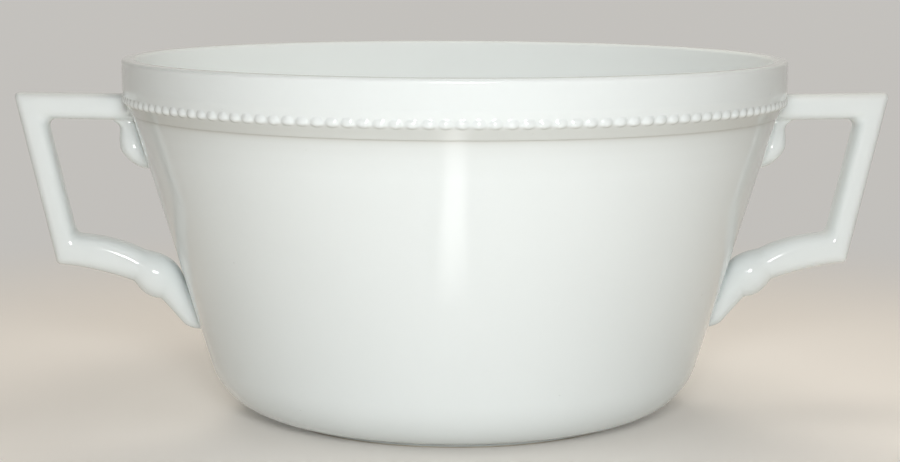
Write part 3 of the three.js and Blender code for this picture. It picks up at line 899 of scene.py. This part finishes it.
def leaf_stations(bowl, handle):
    """Stations of the leaf: a drop, narrow at the bar, that swells and rounds off at its tip."""
    underside = handle.bar_top - handle.bar
    neck, tip = underside + handle.bar / 2, underside - handle.leaf_length
    shares = np.linspace(0, 1, LEAF_STEPS + 1)
    heights = lerp(neck, tip, shares)
    close = blunted(shares, LEAF_BLUNT)
    ease = np.clip((shares - LEAF_NECK) / LEAF_SWELL, 0, 1)
    swell = ease**2 * (3 - 2 * ease)
    outs = lerp(handle.leaf_neck_out, handle.leaf_out, swell) * close
    depths = lerp(handle.leaf_neck_depth, handle.leaf_depth, swell) * close
    flare = handle.leaf_flare * np.clip(1 - (underside - heights) / handle.leaf_flare, 0, 1) ** 2
    flare[heights > underside] = 0
    wall = np.array([wall_radius(bowl, height) for height in heights])
    return sections(
        np.stack([wall + np.maximum(outs + flare, LEAF_END_OUT), heights], 1),
        np.stack([wall - LEAF_BITE, heights], 1),
        np.maximum(depths, LEAF_END_DEPTH),
        handle.leaf_squareness,
    )


def loft(stations, sides=40):
    """Vertices and faces of a closed solid through squarish oval sections."""
    outer, inner, depth, squareness = stations
    middle, half = (outer + inner) / 2, (outer - inner) / 2
    turn = np.linspace(0, math.tau, sides, endpoint=False)
    power = 2 / squareness[:, None]
    across = np.sign(np.cos(turn)) * np.abs(np.cos(turn)) ** power
    side = np.sign(np.sin(turn)) * np.abs(np.sin(turn)) ** power
    plane = middle[:, None, :] + half[:, None, :] * across[..., None]
    places = np.stack([plane[..., 0], depth[:, None] / 2 * side, plane[..., 1]], -1)
    faces = []
    for row in range(len(outer) - 1):
        a, b = row * sides, (row + 1) * sides
        for i in range(sides):
            j = (i + 1) % sides
            faces.append((a + i, b + i, b + j, a + j))
    faces.append(tuple(range(sides)))
    faces.append(tuple(range((len(outer) - 1) * sides, len(outer) * sides))[::-1])
    return places.reshape(-1, 3), faces


def wall_slab(radius_at, low, high, half_width, offsets, rows=24, columns=24):
    """Vertices and faces of a slab that follows the outside of the bowl round the +X side.
    Offsets are its outer and its inner face, outwards from the wall."""
    places, faces = [], []
    for offset in offsets:
        for z in np.linspace(low, high, rows):
            radius = radius_at(z)
            for y in np.linspace(-half_width, half_width, columns):
                turn = y / radius
                places.append(((radius + offset) * math.cos(turn), (radius + offset) * math.sin(turn), z))

    def index(layer, row, column):
        return (layer * rows + row) * columns + column

    for row in range(rows - 1):
        for column in range(columns - 1):
            square = [(row, column), (row, column + 1), (row + 1, column + 1), (row + 1, column)]
            faces.append(tuple(index(0, *at) for at in square))
            faces.append(tuple(index(1, *at) for at in reversed(square)))
    border = [
        *((0, column) for column in range(columns)),
        *((row, columns - 1) for row in range(1, rows)),
        *((rows - 1, column) for column in reversed(range(columns - 1))),
        *((row, 0) for row in reversed(range(1, rows - 1))),
    ]
    for at, following in zip(border, border[1:] + border[:1]):
        faces.append((index(0, *at), index(1, *at), index(1, *following), index(0, *following)))
    return np.array(places), faces


def solid_mesh(name, solids):
    """One mesh of several closed solids."""
    places, faces, count = [], [], 0
    for solid_places, solid_faces in solids:
        places.extend(map(tuple, solid_places))
        faces.extend(tuple(i + count for i in face) for face in solid_faces)
        count += len(solid_places)
    mesh = bpy.data.meshes.new(name)
    mesh.from_pydata(places, [], faces)
    face_outwards(mesh)
    return mesh


def seats(bowl, handle):
    """Where a handle is luted on: each seat's radius by height, its lowest and its highest point."""
    top, foot, ledge = collar_heights(bowl)
    leaf_tip = handle.bar_top - handle.bar - handle.leaf_length
    tail_tip = HANDLE_LOW.z

    def on_wall(z):
        return wall_radius(bowl, z)

    def on_collar(z):
        return bowl.rim_radius - bowl.curl_depth * (z < (top + foot) / 2)

    return {
        "root": (on_collar, ledge - ROOT_BELOW_LEDGE, handle.bar_top + ROOT_ABOVE_BAR),
        "leaf": (on_wall, leaf_tip - LEAF_BELOW_TIP, ledge - LEAF_BELOW_LEDGE),
        "tail": (on_wall, tail_tip - TAIL_BELOW_TIP, tail_tip + TAIL_ABOVE_TIP),
    }


def handle_clay(context):
    """One handle on the +X side, softened into the wall at its seats, and the blocks that cut them off."""
    bowl, handle = context.scene.soup_bowl, context.scene.soup_handles
    patches, cutters = [], []
    for radius_at, low, high in seats(bowl, handle).values():
        inset = low + PATCH_MARGIN, high - PATCH_MARGIN
        patches.append(wall_slab(radius_at, *inset, PATCH_HALF, PATCH_FACES))
        cutters.append(wall_slab(radius_at, low, high, CUTTER_HALF, CUTTER_FACES))
    grip = loft(grip_stations(bowl, handle))
    leaf = loft(leaf_stations(bowl, handle))
    clay = link("clay", solid_mesh("clay", [grip, leaf, *patches]))
    remesh = clay.modifiers.new("Remesh", "REMESH")
    remesh.mode = "VOXEL"
    remesh.voxel_size = handle.voxel
    smooth = clay.modifiers.new("Smooth", "SMOOTH")
    smooth.factor = 0.5
    smooth.iterations = handle.smoothing
    return settle(clay), link("cutters", solid_mesh("cutters", cutters))


def cut(clay, cutters, operation):
    """What is left of the clay when the cutters are taken away from it or kept of it."""
    boolean = clay.modifiers.new("Boolean", "BOOLEAN")
    boolean.operation = operation
    boolean.solver = "MANIFOLD"
    boolean.object = cutters
    made = settle(clay).data
    for spent in (clay, cutters):
        bpy.data.objects.remove(spent)
    return made


def islands(mesh):
    """The separate closed bodies of a mesh, as meshes, from the lowest up."""
    work = bmesh.new()
    work.from_mesh(mesh)
    left = set(work.verts)
    groups = []
    while left:
        front = [left.pop()]
        group = set(front)
        while front:
            for edge in front.pop().link_edges:
                for vertex in edge.verts:
                    if vertex in left:
                        left.discard(vertex)
                        group.add(vertex)
                        front.append(vertex)
        if len(group) >= CRUMB:
            groups.append(group)
    groups.sort(key=lambda group: min(vertex.co.z for vertex in group))
    made = []
    for group in groups:
        number = {vertex: i for i, vertex in enumerate(group)}
        faces = [[number[v] for v in face.verts] for face in work.faces if face.verts[0] in group]
        part = bpy.data.meshes.new("island")
        part.from_pydata([vertex.co[:] for vertex in group], [], faces)
        made.append(part)
    work.free()
    return made


def finish_clay(name, mesh, turn, node):
    """A luted or modelled piece, turned to its side of the bowl, smooth and glazed."""
    mesh = mesh.copy()
    mesh.name = name
    mesh.transform(Matrix.Rotation(turn, 4, "Z"))
    mesh.materials.clear()
    mesh.materials.append(glazed_porcelain())
    mesh.polygons.foreach_set("use_smooth", [True] * len(mesh.polygons))
    mesh.set_sharp_from_angle(angle=SHARP)
    store_recess(mesh)
    piece = link(name, mesh)
    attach(piece, "root")
    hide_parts(node)


class SOUPBOWL_OT_handles(bpy.types.Operator):
    """Model both handles: bar, upright, arm, knuckle, tail and leaf"""

    bl_idname = "soup_bowl.handles"
    bl_label = "Handles"

    def execute(self, context):
        parts = islands(cut(*handle_clay(context), "DIFFERENCE"))
        body = max(parts, key=lambda mesh: len(mesh.vertices))
        for side, turn in SIDES.items():
            finish_clay(f"{side}_handle", body, turn, f"handle_{side}")
        return {"FINISHED"}


class SOUPBOWL_OT_slips(bpy.types.Operator):
    """Lute the handles on: a soft fillet of slip at each root, leaf tip and tail"""

    bl_idname = "soup_bowl.slips"
    bl_label = "Luted Seats"

    def execute(self, context):
        parts = islands(cut(*handle_clay(context), "INTERSECT"))
        upwards = ("tail", "leaf", "root")
        if len(parts) != len(upwards):
            raise RuntimeError(f"a handle has {len(upwards)} seats, and {len(parts)} were cut")
        for seat, mesh in zip(upwards, parts):
            for side, turn in SIDES.items():
                finish_clay(f"{side}_{seat}_seat", mesh, turn, f"{side}_{seat}_slip")
        return {"FINISHED"}


def seen_rays(tree):
    """1 for what the camera sees, itself or in a mirror image, and 0 for what lights other things."""
    rays = add_node(tree, "ShaderNodeLightPath").node.outputs
    seen = rays["Is Camera Ray"]
    for kind in ("Is Glossy Ray", "Is Transmission Ray"):
        seen = add_node(tree, "ShaderNodeMath", {0: seen, 1: rays[kind]}, operation="MAXIMUM")
    return seen


def paper_floor(look):
    """Matt pale paper with a faint tooth. It is lit and shaded as paper near the bowl, and seen in one
    even tone further out."""
    material, tree = new_material("paper_floor_finish")
    place = add_node(tree, "ShaderNodeTexCoord", output="Object")
    # Coarser than real paper, so that it shows
    tooth = add_node(tree, "ShaderNodeTexNoise", {"Vector": place, "Scale": 1 / look.tooth, "Detail": 2.0})
    grain = add_node(
        tree, "ShaderNodeBump", {"Height": tooth, "Strength": 0.05, "Distance": look.tooth_height},
    )
    away = add_node(tree, "ShaderNodeVectorMath", {0: place}, operation="LENGTH")
    far = add_node(
        tree, "ShaderNodeMapRange",
        {"Value": away, "From Min": look.lit_inner, "From Max": look.lit_outer},
        interpolation_type="SMOOTHSTEP",
    )
    seen = seen_rays(tree)
    unlit = add_node(tree, "ShaderNodeMath", {0: seen, 1: far}, operation="MULTIPLY")
    paper = add_node(
        tree, "ShaderNodeMix", {"Factor": unlit, "A": (*look.floor, 1.0), "B": (0.0, 0.0, 0.0, 1.0)},
        data_type="RGBA",
    )
    tone = add_node(
        tree, "ShaderNodeMapRange", {"Value": far, "To Min": look.glow, "To Max": look.far_glow},
    )
    glow = add_node(tree, "ShaderNodeMath", {0: seen, 1: tone}, operation="MULTIPLY")
    shader = add_node(
        tree, "ShaderNodeBsdfPrincipled",
        {"Base Color": paper, "Roughness": 0.9, "Normal": grain,
         "Emission Color": (*look.floor, 1.0), "Emission Strength": glow},
    )
    add_node(tree, "ShaderNodeOutputMaterial", {"Surface": shader})
    return material


def lay_floor(look):
    """A round sheet of paper under the bowl."""
    mesh = bpy.data.meshes.new("floor")
    work = bmesh.new()
    bmesh.ops.create_circle(work, cap_ends=True, segments=FLOOR_SIDES, radius=FLOOR_RADIUS)
    work.to_mesh(mesh)
    work.free()
    mesh.materials.append(paper_floor(look))
    link("floor", mesh)


def light_world(scene, look):
    """Even light all round, seen as a backdrop in the tone of the far floor."""
    scene.world = scene.world or bpy.data.worlds.new("World")
    scene.world.use_nodes = True
    tree = scene.world.node_tree
    tree.nodes.clear()
    seen = seen_rays(tree)
    tint = add_node(
        tree, "ShaderNodeMix", {"Factor": seen, "A": (*look.fill_tint, 1.0), "B": (*look.floor, 1.0)},
        data_type="RGBA",
    )
    strength = add_node(
        tree, "ShaderNodeMapRange", {"Value": seen, "To Min": look.fill, "To Max": look.far_glow},
    )
    light = add_node(tree, "ShaderNodeBackground", {"Color": tint, "Strength": strength})
    add_node(tree, "ShaderNodeOutputWorld", {"Surface": light})


def area_lamp(name, place, target, size, power, mirrored=True, lit=True, tint=(1, 1, 1)):
    """A rectangular lamp that fades towards its edges.
    Gloss mirrors it or not, and matt surfaces take its light or not."""
    lamp = bpy.data.lights.new(name, "AREA")
    lamp.shape = "RECTANGLE"
    lamp.size, lamp.size_y = size
    lamp.energy = power
    lamp.color = tint
    lamp.use_nodes = True
    tree = lamp.node_tree
    # Strength of 1 in the lamp's middle, down to 0 along its edges
    across = add_node(tree, "ShaderNodeNewGeometry", output="Parametric")
    centred = add_node(
        tree, "ShaderNodeVectorMath", {0: across, 1: (2, 2, 0), 2: (-1, -1, 0)}, operation="MULTIPLY_ADD",
    )
    squared = add_node(tree, "ShaderNodeVectorMath", {0: centred, 1: centred}, operation="MULTIPLY")
    faded = add_node(tree, "ShaderNodeVectorMath", {0: (1, 1, 1), 1: squared}, operation="SUBTRACT")
    shares = add_node(tree, "ShaderNodeSeparateXYZ", {0: faded}).node.outputs
    strength = add_node(tree, "ShaderNodeMath", {0: shares["X"], 1: shares["Y"]}, operation="MULTIPLY")
    tree.links.new(strength, tree.nodes["Emission"].inputs["Strength"])
    thing = link(name, lamp)
    thing.location = place
    thing.rotation_euler = (Vector(target) - Vector(place)).to_track_quat("-Z", "Y").to_euler()
    thing.visible_camera = False
    thing.visible_glossy = mirrored
    thing.visible_diffuse = lit


def set_camera(scene):
    """The camera in front of the bowl and a little above it."""
    camera = bpy.data.cameras.new("camera")
    camera.sensor_fit = "HORIZONTAL"
    camera.sensor_width = CAMERA_SENSOR
    camera.lens = CAMERA_LENS
    camera.clip_start = CAMERA_NEAR
    scene.camera = link("camera", camera)
    scene.camera.matrix_world = (
        Matrix.Translation(CAMERA_PLACE)
        @ Matrix.Rotation(CAMERA_YAW, 4, "Z")
        @ Matrix.Rotation(math.pi / 2 - CAMERA_PITCH, 4, "X")
        @ Matrix.Rotation(CAMERA_ROLL, 4, "Z")
    )


class SOUPBOWL_OT_stage(bpy.types.Operator):
    """Set the floor, the lamps and the camera"""

    bl_idname = "soup_bowl.stage"
    bl_label = "Stage"

    def execute(self, context):
        scene = context.scene
        look = scene.soup_stage
        scene.view_settings.view_transform = "Standard"
        lay_floor(look)
        light_world(scene, look)
        soft = {"mirrored": False, "tint": look.fill_tint}
        area_lamp("key_lamp", *KEY_LAMP, look.key)
        area_lamp("top_lamp", *TOP_LAMP, look.top, **soft)
        area_lamp("back_lamp", *BACK_LAMP, look.back, **soft)
        area_lamp("strip_lamp", *STRIP_LAMP, look.strip, lit=False)
        set_camera(scene)
        return {"FINISHED"}


class SOUPBOWL_PT_panel(bpy.types.Panel):
    """Sizes and steps of the soup bowl"""

    bl_label = "Cream Soup Bowl"
    bl_idname = "SOUPBOWL_PT_panel"
    bl_space_type = "VIEW_3D"
    bl_region_type = "UI"
    bl_category = "Soup Bowl"

    def draw(self, context):
        for step in STEPS:
            self.layout.operator(step.bl_idname)
        for name, group in GROUPS.items():
            box = self.layout.box()
            box.label(text=group.__doc__)
            for prop in group.__annotations__:
                box.prop(getattr(context.scene, name), prop)


STEPS = (
    SOUPBOWL_OT_stage,
    SOUPBOWL_OT_bowl,
    SOUPBOWL_OT_beads,
    SOUPBOWL_OT_handles,
    SOUPBOWL_OT_slips,
)
CLASSES = (*GROUPS.values(), *STEPS, SOUPBOWL_PT_panel)


def register():
    """Adds the classes, and gives the scene its sizes and looks."""
    for cls in CLASSES:
        bpy.utils.register_class(cls)
    for name, group in GROUPS.items():
        setattr(bpy.types.Scene, name, PointerProperty(type=group))


def unregister():
    """Takes them away again."""
    for name in GROUPS:
        delattr(bpy.types.Scene, name)
    for cls in reversed(CLASSES):
        bpy.utils.unregister_class(cls)


def main():
    """Makes the stage and the bowl."""
    register()
    bpy.ops.soup_bowl.stage()
    bpy.ops.soup_bowl.bowl()
    bpy.ops.soup_bowl.beads()
    bpy.ops.soup_bowl.handles()
    bpy.ops.soup_bowl.slips()


if __name__ == "__main__":
    main()
